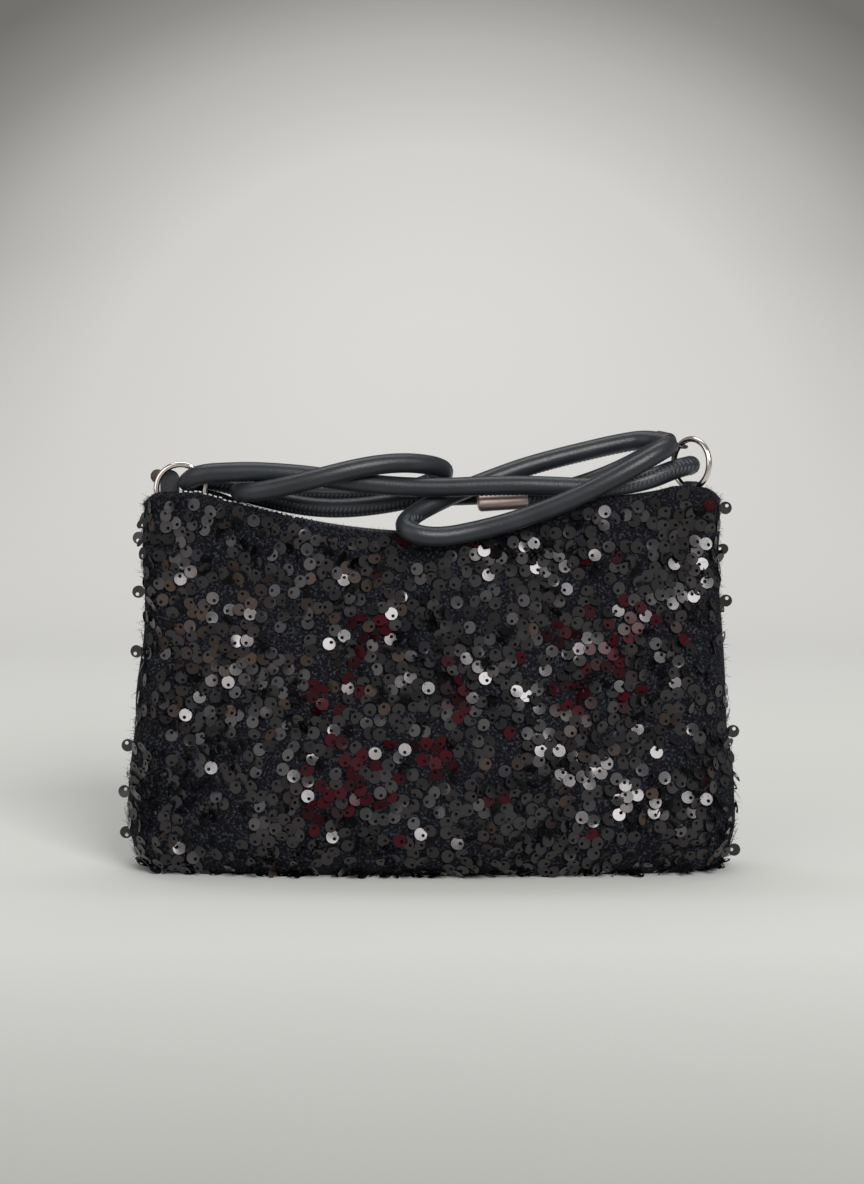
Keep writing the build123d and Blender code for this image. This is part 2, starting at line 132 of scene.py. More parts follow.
def sequin_material(name, colour, gloss, roughness):
    """Glossy thin plastic discs; each has its own shade, and its own dullness in alpha."""
    material, nodes, links, shader = new_material(name, colour, roughness)
    shader.inputs["Specular IOR Level"].default_value = gloss
    shader.inputs["Specular Tint"].default_value = (1.0, 0.955, 0.97, 1.0)
    shade = nodes.new("ShaderNodeVertexColor")
    shade.layer_name = "shade"
    tint = nodes.new("ShaderNodeMix")
    tint.data_type = "RGBA"
    tint.blend_type = "MULTIPLY"
    tint.inputs["Factor"].default_value = 1.0
    tint.inputs[6].default_value = (*colour, 1.0)
    links.new(shade.outputs["Color"], tint.inputs[7])
    links.new(tint.outputs[2], shader.inputs["Base Color"])
    dullness = nodes.new("ShaderNodeMapRange")
    dullness.inputs["To Min"].default_value = roughness
    dullness.inputs["To Max"].default_value = roughness * 4.0
    links.new(shade.outputs["Alpha"], dullness.inputs["Value"])
    links.new(dullness.outputs["Result"], shader.inputs["Roughness"])
    return material


def leather_material(name, colour, roughness):
    """Smooth leather with fine pores and a slightly uneven sheen."""
    material, nodes, links, shader = new_material(name, colour, roughness)
    shader.inputs["Specular IOR Level"].default_value = 0.36
    pores = noise(nodes, links, 1400.0, 3.0)
    lighter = tuple(channel * 1.7 for channel in colour)
    stops = ((0.35, colour), (0.75, lighter))
    links.new(ramp(nodes, links, noise(nodes, links, 60.0), stops), shader.inputs["Base Color"])
    bump(nodes, links, shader, pores, 0.00012)
    return material


def metal_material(name, colour, roughness, scratch):
    """Plated metal with a fine uneven polish."""
    material, nodes, links, shader = new_material(name, colour, roughness, metallic=1.0)
    grain = noise(nodes, links, 700.0, 2.0, scratch)
    bump(nodes, links, shader, grain, 0.00003)
    return material


def plain_material(name, colour, roughness, grain_scale=1200.0, grain_depth=0.0001):
    """One colour with a fine even grain, grain_depth metres deep."""
    material, nodes, links, shader = new_material(name, colour, roughness)
    bump(nodes, links, shader, noise(nodes, links, grain_scale), grain_depth)
    return material


NET = net_material()
SEQUIN = sequin_material("black_sequin", (0.008, 0.0076, 0.0078), 0.56, 0.10)
RED_SEQUIN = sequin_material("dark_red_sequin", (0.036, 0.002, 0.005), 0.12, 0.22)
BROWN_SEQUIN = sequin_material("brown_sequin", (0.040, 0.026, 0.019), 0.30, 0.25)
FUZZ = plain_material("net_fibre", (0.018, 0.019, 0.024), 0.6)
CORD_LEATHER = leather_material("cord_leather", (0.0115, 0.0135, 0.0165), 0.36)
CORD_SEAM = leather_material("cord_seam", (0.030, 0.034, 0.040), 0.45)
TAG_LEATHER = leather_material("tag_leather", (0.014, 0.015, 0.018), 0.45)
STUD_LEATHER = leather_material("stud_leather", (0.030, 0.019, 0.015), 0.45)
NICKEL = metal_material("polished_nickel", (0.72, 0.66, 0.62), 0.16, (1.0, 1.0, 1.0))
FERRULE_METAL = metal_material("brushed_nickel", (0.66, 0.525, 0.475), 0.42, (1.0, 1.0, 1.0))
ENAMEL = plain_material("black_enamel", (0.012, 0.012, 0.014), 0.35)
TAPE = plain_material("zip_tape_weave", (0.012, 0.012, 0.014), 0.8, 2500.0, 0.0002)
COIL = plain_material("zip_coil", (0.015, 0.015, 0.017), 0.35)
SATIN = plain_material("lining_satin", (0.02, 0.02, 0.024), 0.5)
# pale grey is a painted glint: the zip coil's glints along the left of the front hem, drawn as pale
# stitches
HEM_PAINTED_GLINT = plain_material("painted_coil_glint", (0.45, 0.45, 0.45), 0.4)

NODE_MATERIALS = {
    "lining_front": SATIN, "lining_back": SATIN,
    "zip_tape_front": TAPE, "zip_tape_back": TAPE,
    "zip_teeth_front": COIL, "zip_teeth_back": COIL,
    "zip_top_stops": NICKEL, "zip_bottom_stop": NICKEL,
    "zip_slider": NICKEL, "zip_puller": NICKEL,
    "ring_left": NICKEL, "ring_right": NICKEL,
    "ring_tab_left": TAG_LEATHER, "ring_tab_right": TAG_LEATHER, "zip_tongue": TAG_LEATHER,
    "strap_end_cap": ENAMEL, "strap_ferrule": FERRULE_METAL,
}
for node_name, material in NODE_MATERIALS.items():
    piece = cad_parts[node_name]
    for material_slot in piece.material_slots:
        material_slot.material = material


# ---------------------------------------------------------------- mesh helpers
def new_mesh_object(name, vertices, faces, material, smooth=True):
    """A mesh object of one material, in metres, linked into the scene."""
    mesh = bpy.data.meshes.new(name)
    mesh.from_pydata([tuple(vertex) for vertex in vertices], [], [tuple(face) for face in faces])
    mesh.materials.append(material)
    mesh.polygons.foreach_set("use_smooth", [smooth] * len(mesh.polygons))
    mesh.update()
    thing = bpy.data.objects.new(name, mesh)
    bpy.context.collection.objects.link(thing)
    return thing


def unit(vectors):
    """Vectors scaled to length 1."""
    return vectors / np.maximum(np.linalg.norm(vectors, axis=-1, keepdims=True), 1e-12)


def any_across(directions):
    """A unit vector square to each direction."""
    helper = np.where(np.abs(directions[:, 2:3]) < 0.8, [[0.0, 0.0, 1.0]], [[1.0, 0.0, 0.0]])
    return unit(np.cross(directions, helper))


# ---------------------------------------------------------------- cloth body
# Height, half width, half depth and depth of the round ends, in mm.
BODY_STATIONS = np.array([
    (0.0, 0.885, 0.56, 0.70), (4.0, 0.955, 0.80, 0.70), (13.0, 0.990, 0.95, 0.70),
    (35.0, 1.000, 1.00, 0.70), (68.0, 0.973, 0.81, 0.72), (100.0, 0.953, 0.56, 0.76),
    (130.0, 0.945, 0.36, 0.82), (150.0, 0.942, 0.283, 0.88), (176.0, 0.937, 0.255, 0.92),
])
BODY_HALF_WIDTH = 131.5
BODY_HALF_DEPTH = 30.0
MOUTH_RADIUS = 280.0
MOUTH_DIP_HEIGHT = 146.0
LEFT_CORNER_HEIGHT = 164.0
RIGHT_CORNER_HEIGHT = 165.9
NEAR_MOUTH = 150.0           # the outline at this height says where each column meets the mouth
WIDEST_X = 150.0             # beyond the cloth on both sides
CORNER_ROUNDING = 4.5        # how far each top corner drops at its very end
CORNER_START = 115.0         # the rounding begins this far from the middle
CORNER_REACH = 8.6           # and is complete this much further out
# Where the cloth stands up against the strap: how far, the X there, and its reach.
FRONT_RISES = ((5.6, 70.0, 24.0), (1.5, -67.0, 20.0))
BACK_RISES = ((1.7, -91.0, 9.0), (0.8, -68.0, 12.0))
SIDE_STEPS = 120             # grid columns along one long side
END_STEPS = 24               # grid columns round one end
ROWS = 90                    # grid rows from the floor to the mouth
ROW_CROWDING = 1.15          # above 1 the rows are closer together near the floor
FOOT_FADE = 12.0             # the folds fade out towards the floor within this height
HEM_FADE = 8.0               # and towards the mouth within this
INWARD_ROOM = 1.1            # how far the cloth may fold in before it meets the lining
CLOTH_THICKNESS = 0.8


def smooth_through(heights, column):
    """One station column at any heights, as a smooth curve through the stations."""
    knots = BODY_STATIONS[:, 0]
    values = BODY_STATIONS[:, column]
    slopes = np.gradient(values, knots)
    index = np.clip(np.searchsorted(knots, heights, side="right") - 1, 0, len(knots) - 2)
    step = knots[index + 1] - knots[index]
    t = (heights - knots[index]) / step
    start = (1 + 2 * t) * (1 - t) ** 2 * values[index] + t * (1 - t) ** 2 * step * slopes[index]
    end = t * t * (3 - 2 * t) * values[index + 1] + t * t * (t - 1) * step * slopes[index + 1]
    return start + end


def hollow(value, middle, width):
    """A smooth bell: 1 at the middle, near 0 beyond twice the width."""
    return np.exp(-((value - middle) / width) ** 2)


def rises(x, places):
    """The sum of these places' bells at x."""
    return sum(height * hollow(x, middle, reach) for height, middle, reach in places)


def mouth_height(x, y):
    """The dipped edge; the cloth stands up a little in places, and the corners are round."""
    within = np.clip(x, -WIDEST_X, WIDEST_X)
    arc = MOUTH_DIP_HEIGHT + MOUTH_RADIUS - np.sqrt(MOUTH_RADIUS ** 2 - within ** 2)
    corner = np.where(x < 0, LEFT_CORNER_HEIGHT, RIGHT_CORNER_HEIGHT)
    stands_up = np.where(y < 0, rises(x, FRONT_RISES), rises(x, BACK_RISES))
    rounding = CORNER_ROUNDING * np.clip((np.abs(x) - CORNER_START) / CORNER_REACH, 0, 1) ** 2
    return np.minimum(arc, corner) + stands_up - rounding


def around():
    """For each grid column: its share of the shoulder, its side, and the cosine and sine round an end."""
    along = np.linspace(-1, 1, SIDE_STEPS, endpoint=False)
    turn = np.linspace(-pi / 2, pi / 2, END_STEPS, endpoint=False)
    columns = [(x, -1.0, 0.0, 0.0) for x in along]
    columns += [(1.0, 0.0, cos(a), sin(a)) for a in turn]
    columns += [(-x, 1.0, 0.0, 0.0) for x in along]
    columns += [(-1.0, 0.0, -cos(a), -sin(a)) for a in turn]
    return np.array(columns)


COLUMNS = around()


def body_points(heights):
    """Outline points in mm; heights has one value for each grid column."""
    half_width = BODY_HALF_WIDTH * smooth_through(heights, 1)
    half_depth = BODY_HALF_DEPTH * smooth_through(heights, 2)
    end_depth = half_depth * smooth_through(heights, 3)
    shoulder = half_width - end_depth
    share, side, end_x, end_y = COLUMNS.T
    bow = end_depth + (half_depth - end_depth) * (1 - share ** 2)
    x = share * shoulder + end_x * end_depth
    y = side * bow + end_y * end_depth
    return np.stack([x, y, heights], axis=1)


def sag(points):
    """Soft folds of the cloth, in mm outwards; inwards they stop short of the lining."""
    x, y, z = points.T
    front = y < 0
    left_fold = hollow(z, 66 + 0.03 * (x + 80), 4.5) * hollow(x, -75, 48)
    right_fold = hollow(z, 64 - 0.04 * (x - 90), 4.0) * hollow(x, 92, 34)
    folds = -2.6 * left_fold - 2.4 * right_fold
    left_belly = 1.2 * hollow(z, 48, 14) * hollow(x, -60, 60)
    right_belly = 1.0 * hollow(z, 44, 12) * hollow(x, 85, 40)
    belly = left_belly + right_belly
    ripples = 0.55 * np.sin(x / 11.0 + z / 23.0) * np.sin(z / 17.0 + 0.8)
    ripples += 0.45 * np.sin(x / 19.0 - z / 13.0 + 1.3) + 0.25 * np.sin(x / 6.3 + z / 9.1)
    fade = np.clip(z / FOOT_FADE, 0, 1) * np.clip((mouth_height(x, y) - z) / HEM_FADE, 0, 1)
    back_fold = 1.2 * hollow(z, 70, 8) * hollow(x, 10, 60)
    back_ripples = 0.8 * np.sin(x / 27.0 + 0.5) * np.sin(z / 21.0) - back_fold
    drape = np.where(front, folds + belly + ripples, ripples + back_ripples) * fade
    return np.where(drape < 0, INWARD_ROOM * np.tanh(drape / INWARD_ROOM), drape)


def grid_normals(grid):
    """Outward unit normals of a closed grid of points."""
    across = np.roll(grid, -1, axis=1) - np.roll(grid, 1, axis=1)
    up = np.gradient(grid, axis=0)
    return unit(np.cross(across, up))


def body_grid():
    """(rows, columns, 3) points of the outer cloth, and the normals there, in mm."""
    upper = body_points(np.full(len(COLUMNS), NEAR_MOUTH))
    tops = mouth_height(upper[:, 0], upper[:, 1])
    shares = np.linspace(0, 1, ROWS) ** ROW_CROWDING
    grid = np.stack([body_points(tops * share) for share in shares])
    flat = grid.reshape(-1, 3)
    moved = flat + grid_normals(grid).reshape(-1, 3) * sag(flat)[:, None]
    grid = moved.reshape(grid.shape)
    return grid, grid_normals(grid)


GRID, NORMALS = body_grid()


def bag_cloth():
    """The net as one soft open bag with a flat bottom and a wall of even thickness."""
    rows, columns = GRID.shape[:2]
    faces = []
    for row in range(rows - 1):
        for column in range(columns):
            right = (column + 1) % columns
            faces.append((row * columns + column, row * columns + right,
                          (row + 1) * columns + right, (row + 1) * columns + column))
    faces.append(tuple(reversed(range(columns))))
    bag = new_mesh_object("bag_cloth", GRID.reshape(-1, 3) * MM, faces, NET)
    wall = bag.modifiers.new("wall", "SOLIDIFY")
    wall.thickness = CLOTH_THICKNESS * MM
    wall.offset = -1.0
    return bag


def ride_as(thing, body="bag"):
    """Let a piece move with a body."""
    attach(thing, body)


bag = bag_cloth()
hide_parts("shell_front", "shell_back")
ride_as(bag)


# ---------------------------------------------------------------- sequins
SEQUIN_RADIUS = 2.75
HOLE_RADIUS = 0.76
HOLE_OFFSET = 1.15
SEQUIN_CUP = 0.05
SEQUIN_CORNERS = 18
SEQUIN_SPACING = 3.95
BARE_HEM = 3.6               # no sequin is sewn nearer to the mouth than this
ROW_MARGIN = 1.02            # grid rows kept free at the mouth, where there is no row above
CANDIDATES = 90000           # places tried for a sequin
LOWEST = 0.05                # no disc or fibre reaches below this
DARKEST_SHARE = 0.15         # the darkest disc has this share of its colour
MISSING_SHARE = 0.05         # sequins missing everywhere
SPARSE_SHARE = 0.32          # and as many more where the cloth is sparse
MISSING_ON_END = 0.60        # and on the very ends
LEAN_SPREAD = radians(20)    # how unevenly the discs lie
LOOSE_SHARE = 0.16           # discs that hang loose
LOOSE_LEAN = radians(30)
RAISED = 0.35                # a disc's middle stands off the cloth by this
RAISED_BY_LEAN = 0.6         # and by this share of its radius when it leans fully


def on_grid(u, v):
    """Point and normal of the cloth at column u and row v, both fractional."""
    rows, columns = GRID.shape[:2]
    u0 = np.floor(u).astype(int) % columns
    u1 = (u0 + 1) % columns
    v0 = np.clip(np.floor(v).astype(int), 0, rows - 2)
    fu = (u - np.floor(u))[:, None]
    fv = (v - v0)[:, None]

    def mix(field):
        low = field[v0, u0] * (1 - fu) + field[v0, u1] * fu
        high = field[v0 + 1, u0] * (1 - fu) + field[v0 + 1, u1] * fu
        return low * (1 - fv) + high * fv
    return mix(GRID), unit(mix(NORMALS))


def spaced(points, spacing):
    """Indices of points no two of which are nearer than spacing."""
    cells = {}
    kept = []
    for index, point in enumerate(points):
        cell = tuple((point // spacing).astype(int))
        near = [other for i in (-1, 0, 1) for j in (-1, 0, 1) for k in (-1, 0, 1)
                for other in cells.get((cell[0] + i, cell[1] + j, cell[2] + k), ())]
        if all(np.sum((points[other] - point) ** 2) > spacing ** 2 for other in near):
            cells.setdefault(cell, []).append(index)
            kept.append(index)
    return np.array(kept)


def scatter(count, spacing):
    """Points and normals all over the cloth, no two nearer than spacing."""
    rows, columns = GRID.shape[:2]
    u = rng.uniform(0, columns, count)
    v = rng.uniform(0.5, rows - ROW_MARGIN, count)
    points, normals = on_grid(u, v)
    kept = spaced(points, spacing)
    return points[kept], normals[kept]


def tilted(normals, lean, turn):
    """Normals leant over by lean radians in the direction turn."""
    side = any_across(normals)
    other = np.cross(normals, side)
    towards = side * np.cos(turn)[:, None] + other * np.sin(turn)[:, None]
    return normals * np.cos(lean)[:, None] + towards * np.sin(lean)[:, None]


# Where warmer sequins gather on the front: X, height, reach, all in mm.
RED_PATCHES = (
    (76.0, 110.0, 10.0), (54.0, 102.0, 11.0), (75.0, 92.0, 12.0), (93.0, 107.0, 9.0), (60.0, 77.0, 10.0),
    (83.0, 84.0, 7.0), (-30.0, 104.0, 11.0), (-47.0, 76.0, 9.0), (-28.0, 46.0, 12.0), (-43.0, 34.0, 9.0),
    (11.0, 80.0, 10.0), (2.0, 55.0, 12.0), (23.0, 38.0, 8.0),
)
BROWN_PATCHES = ((-92.0, 104.0, 34.0), (-50.0, 112.0, 26.0))
RED_SHARES = (0.012, 0.85)   # of the discs away from the patches, and how many more within
BROWN_SHARES = (0.03, 0.40)


def in_patches(points, patches):
    """How strongly each point lies in the nearest of these patches, 0 to 1."""
    return np.max([hollow(np.hypot(points[:, 0] - x, points[:, 2] - z), 0.0, reach)
                   for x, z, reach in patches], axis=0)


def sequin_kinds(points):
    """0 for black, 1 for dark red and 2 for brownish, which gather in a few patches."""
    count = len(points)
    front = points[:, 1] < 0
    few, more = RED_SHARES
    red = rng.random(count) < front * (few + more * in_patches(points, RED_PATCHES))
    few, more = BROWN_SHARES
    brown = rng.random(count) < front * (few + more * in_patches(points, BROWN_PATCHES))
    return np.where(red, 1, np.where(brown, 2, 0))


def disc_rims(centres, facing):
    """The vertices of each disc: its rim, then the rim of its off-centre hole."""
    side = any_across(facing)
    other = np.cross(facing, side)
    turn = rng.uniform(0, 2 * pi, len(centres))
    first = side * np.cos(turn)[:, None] + other * np.sin(turn)[:, None]
    second = np.cross(facing, first)
    angles = np.linspace(0, 2 * pi, SEQUIN_CORNERS, endpoint=False)
    rims = []
    for radius, shift, lift in ((SEQUIN_RADIUS, 0.0, SEQUIN_CUP), (HOLE_RADIUS, HOLE_OFFSET, 0.0)):
        flat_x = radius * np.cos(angles) + shift
        flat_y = radius * np.sin(angles)
        rim = (centres[:, None] + first[:, None] * flat_x[None, :, None]
               + second[:, None] * flat_y[None, :, None] + facing[:, None] * lift)
        rims.append(rim)
    vertices = np.concatenate(rims, axis=1).reshape(-1, 3)
    vertices[:, 2] = np.maximum(vertices[:, 2], LOWEST)
    return vertices


def shade_discs(discs, count):
    """Give each disc its own shade, and its own dullness in alpha."""
    shades = discs.data.color_attributes.new("shade", "FLOAT_COLOR", "POINT")
    per_disc = np.repeat(rng.uniform(DARKEST_SHARE, 1.0, (count, 1)), 4, axis=1)
    per_disc[:, 3] = rng.random(count)
    per_vertex = np.repeat(per_disc, 2 * SEQUIN_CORNERS, axis=0)
    shades.data.foreach_set("color", per_vertex.astype(np.float32).ravel())


def disc_mesh(name, centres, facing, kinds):
    """One mesh of cupped discs, each with an off-centre hole."""
    count = len(centres)
    vertices = disc_rims(centres, facing)
    corner = np.arange(SEQUIN_CORNERS)
    following = (corner + 1) % SEQUIN_CORNERS
    ring = np.stack([corner, following, following + SEQUIN_CORNERS, corner + SEQUIN_CORNERS], axis=1)
    faces = (ring[None] + (np.arange(count) * 2 * SEQUIN_CORNERS)[:, None, None]).reshape(-1, 4)
    discs = new_mesh_object(name, vertices * MM, faces.tolist(), SEQUIN, smooth=False)
    discs.data.materials.append(RED_SEQUIN)
    discs.data.materials.append(BROWN_SEQUIN)
    discs.data.polygons.foreach_set("material_index", np.repeat(kinds, SEQUIN_CORNERS))
    shade_discs(discs, count)
    return discs


def lie_of_cloth(points, normals):
    """How far the discs of one area lean together, sideways and upwards."""
    x, y, z = points.T
    front = y < 0
    broad_sideways = 0.24 * np.sin(x / 15.0 + 2.0 * np.sin(z / 21.0))
    broad_upwards = 0.26 * np.sin(z / 12.0 + 1.8 * np.sin(x / 24.0))
    sideways = broad_sideways + 0.16 * np.sin(x / 6.0 - z / 8.0)
    upwards = broad_upwards + 0.18 * np.sin(z / 6.5 + x / 9.0)
    lower_right = hollow(x, 88.0, 34.0) * hollow(z, 46.0, 24.0) * front
    left = np.clip(-(x + 50.0) / 60.0, 0, 1) * front
    shoulder = hollow(np.abs(normals[:, 0]), 0.42, 0.20)
    foot = np.clip((32.0 - z) / 24.0, 0, 1)
    sideways = sideways * (1.0 - 0.5 * lower_right) + 0.10 * left + 0.75 * shoulder * np.sign(x * y)
    upwards = upwards * (1.0 - 0.5 * lower_right) + 0.30 * lower_right - 0.06 * left - 0.30 * foot
    return sideways, upwards


def sewn_places():
    """Points and normals where a sequin is sewn, below the hem and with some missing."""
    candidates = CANDIDATES
    points, normals = scatter(candidates, SEQUIN_SPACING)
    below_hem = mouth_height(points[:, 0], points[:, 1]) - points[:, 2] > BARE_HEM
    points, normals = points[below_hem], normals[below_hem]
    on_end = np.abs(normals[:, 0])
    sparse = 0.5 + 0.5 * np.sin(points[:, 0] / 13.0 + 2.0 * np.sin(points[:, 2] / 17.0))
    chance = MISSING_SHARE + SPARSE_SHARE * sparse ** 3 + MISSING_ON_END * on_end ** 3
    missing = rng.random(len(points)) < chance
    return points[~missing], normals[~missing]


def disc_facings(points, normals):
    """Which way each disc faces: it lies as the cloth does there, and leans at random."""
    on_end = np.abs(normals[:, 0])
    lean = np.abs(rng.normal(0, LEAN_SPREAD, len(points))) * (1.0 - 0.6 * on_end ** 2)
    loose = rng.random(len(points)) < LOOSE_SHARE * (1.0 - on_end)
    lean[loose] += LOOSE_LEAN
    sideways, upwards = lie_of_cloth(points, normals)
    across = unit(np.cross(normals, (0.0, 0.0, 1.0)))
    up = np.cross(across, normals)
    lying = unit(normals + across * sideways[:, None] + up * upwards[:, None])
    return tilted(lying, lean, rng.uniform(0, 2 * pi, len(points)))


def sequins():
    """The sewn sequins, as one mesh for the front and one for the back."""
    points, normals = sewn_places()
    facing = disc_facings(points, normals)
    leaning = np.sqrt(1.0 - np.sum(facing * normals, axis=1) ** 2)
    lift = RAISED + SEQUIN_RADIUS * RAISED_BY_LEAN * leaning
    centres = points + normals * lift[:, None]
    kinds = sequin_kinds(centres)
    for name, chosen in (("sequins_front", points[:, 1] < 0), ("sequins_back", points[:, 1] >= 0)):
        piece = disc_mesh(name, centres[chosen], facing[chosen], kinds[chosen])
        ride_as(piece)
    print("sequins:", len(points))


# Sequins that hang off the ends by a thread: which end, and their height in mm.
STRAYS = ((-1, 144.0), (-1, 121.0), (-1, 95.0), (-1, 54.0), (-1, 34.0), (-1, 16.0),
          (1, 157.0), (1, 117.0), (1, 60.0), (1, 8.5))
STRAY_REACH = (1.2, 2.4)     # how far beyond the cloth
STRAY_Y = (-5.0, -1.0)
STRAY_LEAN = (0.05, 0.3)     # radians


def stray_sequins():
    """A few discs that hang free beside the ends and face forwards."""
    count = len(STRAYS)
    heights = np.array([height for _, height in STRAYS])
    ends = np.array([end for end, _ in STRAYS])
    half_width = BODY_HALF_WIDTH * smooth_through(heights, 1)
    reach = half_width + rng.uniform(*STRAY_REACH, count)
    centres = np.stack([ends * reach, rng.uniform(*STRAY_Y, count), heights], axis=1)
    forwards = np.tile((0.0, -1.0, 0.0), (count, 1))
    facing = tilted(forwards, rng.uniform(*STRAY_LEAN, count), rng.uniform(0, 2 * pi, count))
    strays = disc_mesh("sequins_stray", centres, facing, np.zeros(count, int))
    ride_as(strays)


stray_sequins()
sequins()


# ---------------------------------------------------------------- net fibres
FIBRE_COUNT = 10000
FIBRE_THICKNESS = 0.17
FIBRE_TAPER = 0.6            # the share of its thickness that a fibre loses
FIBRE_STEPS = 4              # cross sections along one fibre
FIBRE_SIDES = 3
FIBRE_LENGTH = (1.2, 3.4)
HEM_FIBRE_LENGTH = (0.7, 2.0)


def strands(name, starts, directions, bends, length, thickness, material):
    """Short bent fibres, thinner towards their ends."""
    steps = np.linspace(0, 1, FIBRE_STEPS)
    side = any_across(directions)
    other = np.cross(directions, side)
    rings = []
    for step in steps:
        middle = starts + directions * (length * step)[:, None] + bends * (length * step ** 2)[:, None]
        width = thickness * (1 - FIBRE_TAPER * step) / 2
        for corner in range(FIBRE_SIDES):
            angle = 2 * pi * corner / FIBRE_SIDES
            rings.append(middle + (side * cos(angle) + other * sin(angle)) * width)
    vertices = np.stack(rings, axis=1)
    faces = []
    for step in range(len(steps) - 1):
        low = FIBRE_SIDES * step
        high = low + FIBRE_SIDES
        for corner in range(FIBRE_SIDES):
            following = (corner + 1) % FIBRE_SIDES
            faces.append((low + corner, low + following, high + following, high + corner))
    offsets = np.arange(len(starts)) * FIBRE_SIDES * len(steps)
    all_faces = (np.array(faces)[None] + offsets[:, None, None]).reshape(-1, 4)
    flat = vertices.reshape(-1, 3)
    flat[:, 2] = np.maximum(flat[:, 2], LOWEST)
    return new_mesh_object(name, flat * MM, all_faces.tolist(), material)


def net_fibres():
    """Loose fibres of the net: a third of them on the hem and a fifth on the ends."""
    count = FIBRE_COUNT
    rows, columns = GRID.shape[:2]
    u = rng.uniform(0, columns, count)
    v = rng.uniform(1, rows - ROW_MARGIN, count)
    on_hem = count // 3
    on_ends = count // 5
    v[:on_hem] = rows - 1 - np.abs(rng.normal(0, 0.8, on_hem)) - 0.02
    end_columns = rng.uniform(SIDE_STEPS, SIDE_STEPS + END_STEPS, on_ends)
    end_columns += (SIDE_STEPS + END_STEPS) * (rng.random(on_ends) < 0.5)
    u[on_hem:on_hem + on_ends] = end_columns
    points, normals = on_grid(u, v)
    leaning = tilted(normals, rng.uniform(0.5, 1.45, count), rng.uniform(0, 2 * pi, count))
    bends = unit(rng.normal(0, 1, (count, 3))) * rng.uniform(0.2, 0.7, (count, 1))
    length = rng.uniform(*FIBRE_LENGTH, count)
    length[:on_hem] = rng.uniform(*HEM_FIBRE_LENGTH, on_hem)
    fibres = strands("net_fibres", points, leaning, bends, length, FIBRE_THICKNESS, FUZZ)
    ride_as(fibres)


net_fibres()


# ---------------------------------------------------------------- strap
CORD_DIAMETER = 0.0084       # metres
STRAP_ROUTE = [
    (98.7, 14.7, 185.4), (94.1, 19.8, 186.5), (81.2, 19.4, 184.4), (67.2, 17.4, 181.2),
    (52.8, 15.2, 177.7), (38.9, 12.2, 173.8), (27.9, 9.3, 169.9), (16.9, 5.8, 165.8),
    (7.1, 1.4, 161.9), (-0.6, -3.6, 158.2), (-6.4, -7.4, 155.2), (-10.4, -11.2, 152.2),
    (-11.8, -15.4, 149.6), (-9.2, -18.8, 147.2), (-3.0, -19.4, 145.5), (6.2, -17.2, 145.3),
    (19.3, -15.4, 147.8), (32.6, -15.6, 151.2), (45.3, -16.2, 155.6), (57.9, -17.0, 160.6),
    (69.7, -17.5, 166.3), (81.1, -17.0, 172.5), (91.0, -15.0, 178.0), (98.3, -11.0, 182.2),
    (102.0, -4.6, 183.8), (98.6, 2.2, 182.3), (91.9, 7.2, 178.7), (85.1, 11.2, 174.7),
    (76.5, 12.8, 170.7), (67.0, 13.8, 167.1), (57.0, 15.0, 164.2), (44.8, 15.8, 162.5),
    (31.6, 15.9, 162.0), (19.7, 14.9, 161.9), (9.4, 12.2, 161.6), (-0.6, 7.6, 161.5),
    (-10.9, 6.3, 160.1), (-23.0, 6.4, 157.9), (-36.9, 7.0, 156.4), (-50.9, 7.5, 156.7),
    (-63.1, 7.6, 158.6), (-74.3, 6.4, 161.3), (-81.7, 1.8, 163.6), (-82.9, -5.0, 163.9),
    (-78.3, -11.2, 163.7), (-69.0, -15.2, 164.9), (-57.0, -17.2, 167.7), (-44.4, -17.0, 171.0),
    (-32.6, -15.0, 173.9), (-21.7, -11.4, 175.8), (-11.5, -7.2, 176.4), (-2.8, -3.2, 175.7),
    (3.6, 2.4, 174.2), (5.8, 9.5, 172.0), (2.4, 16.2, 168.8), (-6.6, 18.8, 165.0),
    (-18.9, 18.0, 162.6), (-33.0, 17.0, 161.9), (-47.0, 16.6, 162.2), (-60.2, 17.0, 162.6),
    (-72.8, 16.4, 163.4), (-84.0, 13.2, 165.4), (-92.8, 10.0, 167.8), (-99.8, 8.5, 169.0),
    (-105.0, 3.2, 167.9), (-105.0, -2.6, 167.9), (-101.4, -7.0, 170.5), (-95.6, -8.6, 172.0),
    (-87.6, -8.4, 172.4), (-77.0, -8.2, 172.7), (-64.8, -8.5, 172.1), (-51.6, -8.2, 170.9),
    (-38.0, -8.0, 168.8), (-24.3, -8.3, 167.1), (-9.8, -8.0, 166.0), (5.6, -8.2, 165.8),
    (20.9, -7.9, 166.5), (36.3, -8.2, 166.9), (51.7, -8.0, 166.4), (67.0, -8.3, 165.7),
    (80.4, -8.0, 166.6), (90.6, -6.9, 168.6), (98.4, -4.3, 171.4), (104.6, -1.4, 173.6),
    (110.2, 2.4, 174.9), (112.8, 8.0, 175.2), (110.4, 13.8, 174.4), (104.6, 16.2, 172.4),
    (98.4, 14.0, 169.8), (91.4, 9.6, 167.9), (83.4, 6.0, 166.5), (72.6, 3.6, 164.4),
    (60.0, 2.6, 162.1), (49.2, 2.1, 160.9), (41.3, 2.0, 160.4),
]
STITCH_PITCH = 1.9
STITCH_ANGLES = (6, 38)      # degrees from the seam's middle to a stitch's two ends
STITCH_SLANT = (0.5, 0.7)    # how far its two ends are moved along the cord
STITCH_WIDTH = 1.25
STITCH_HEIGHT = 0.36
SEAM_REACH = 8               # the seam's direction is evened out over this many stitches each way
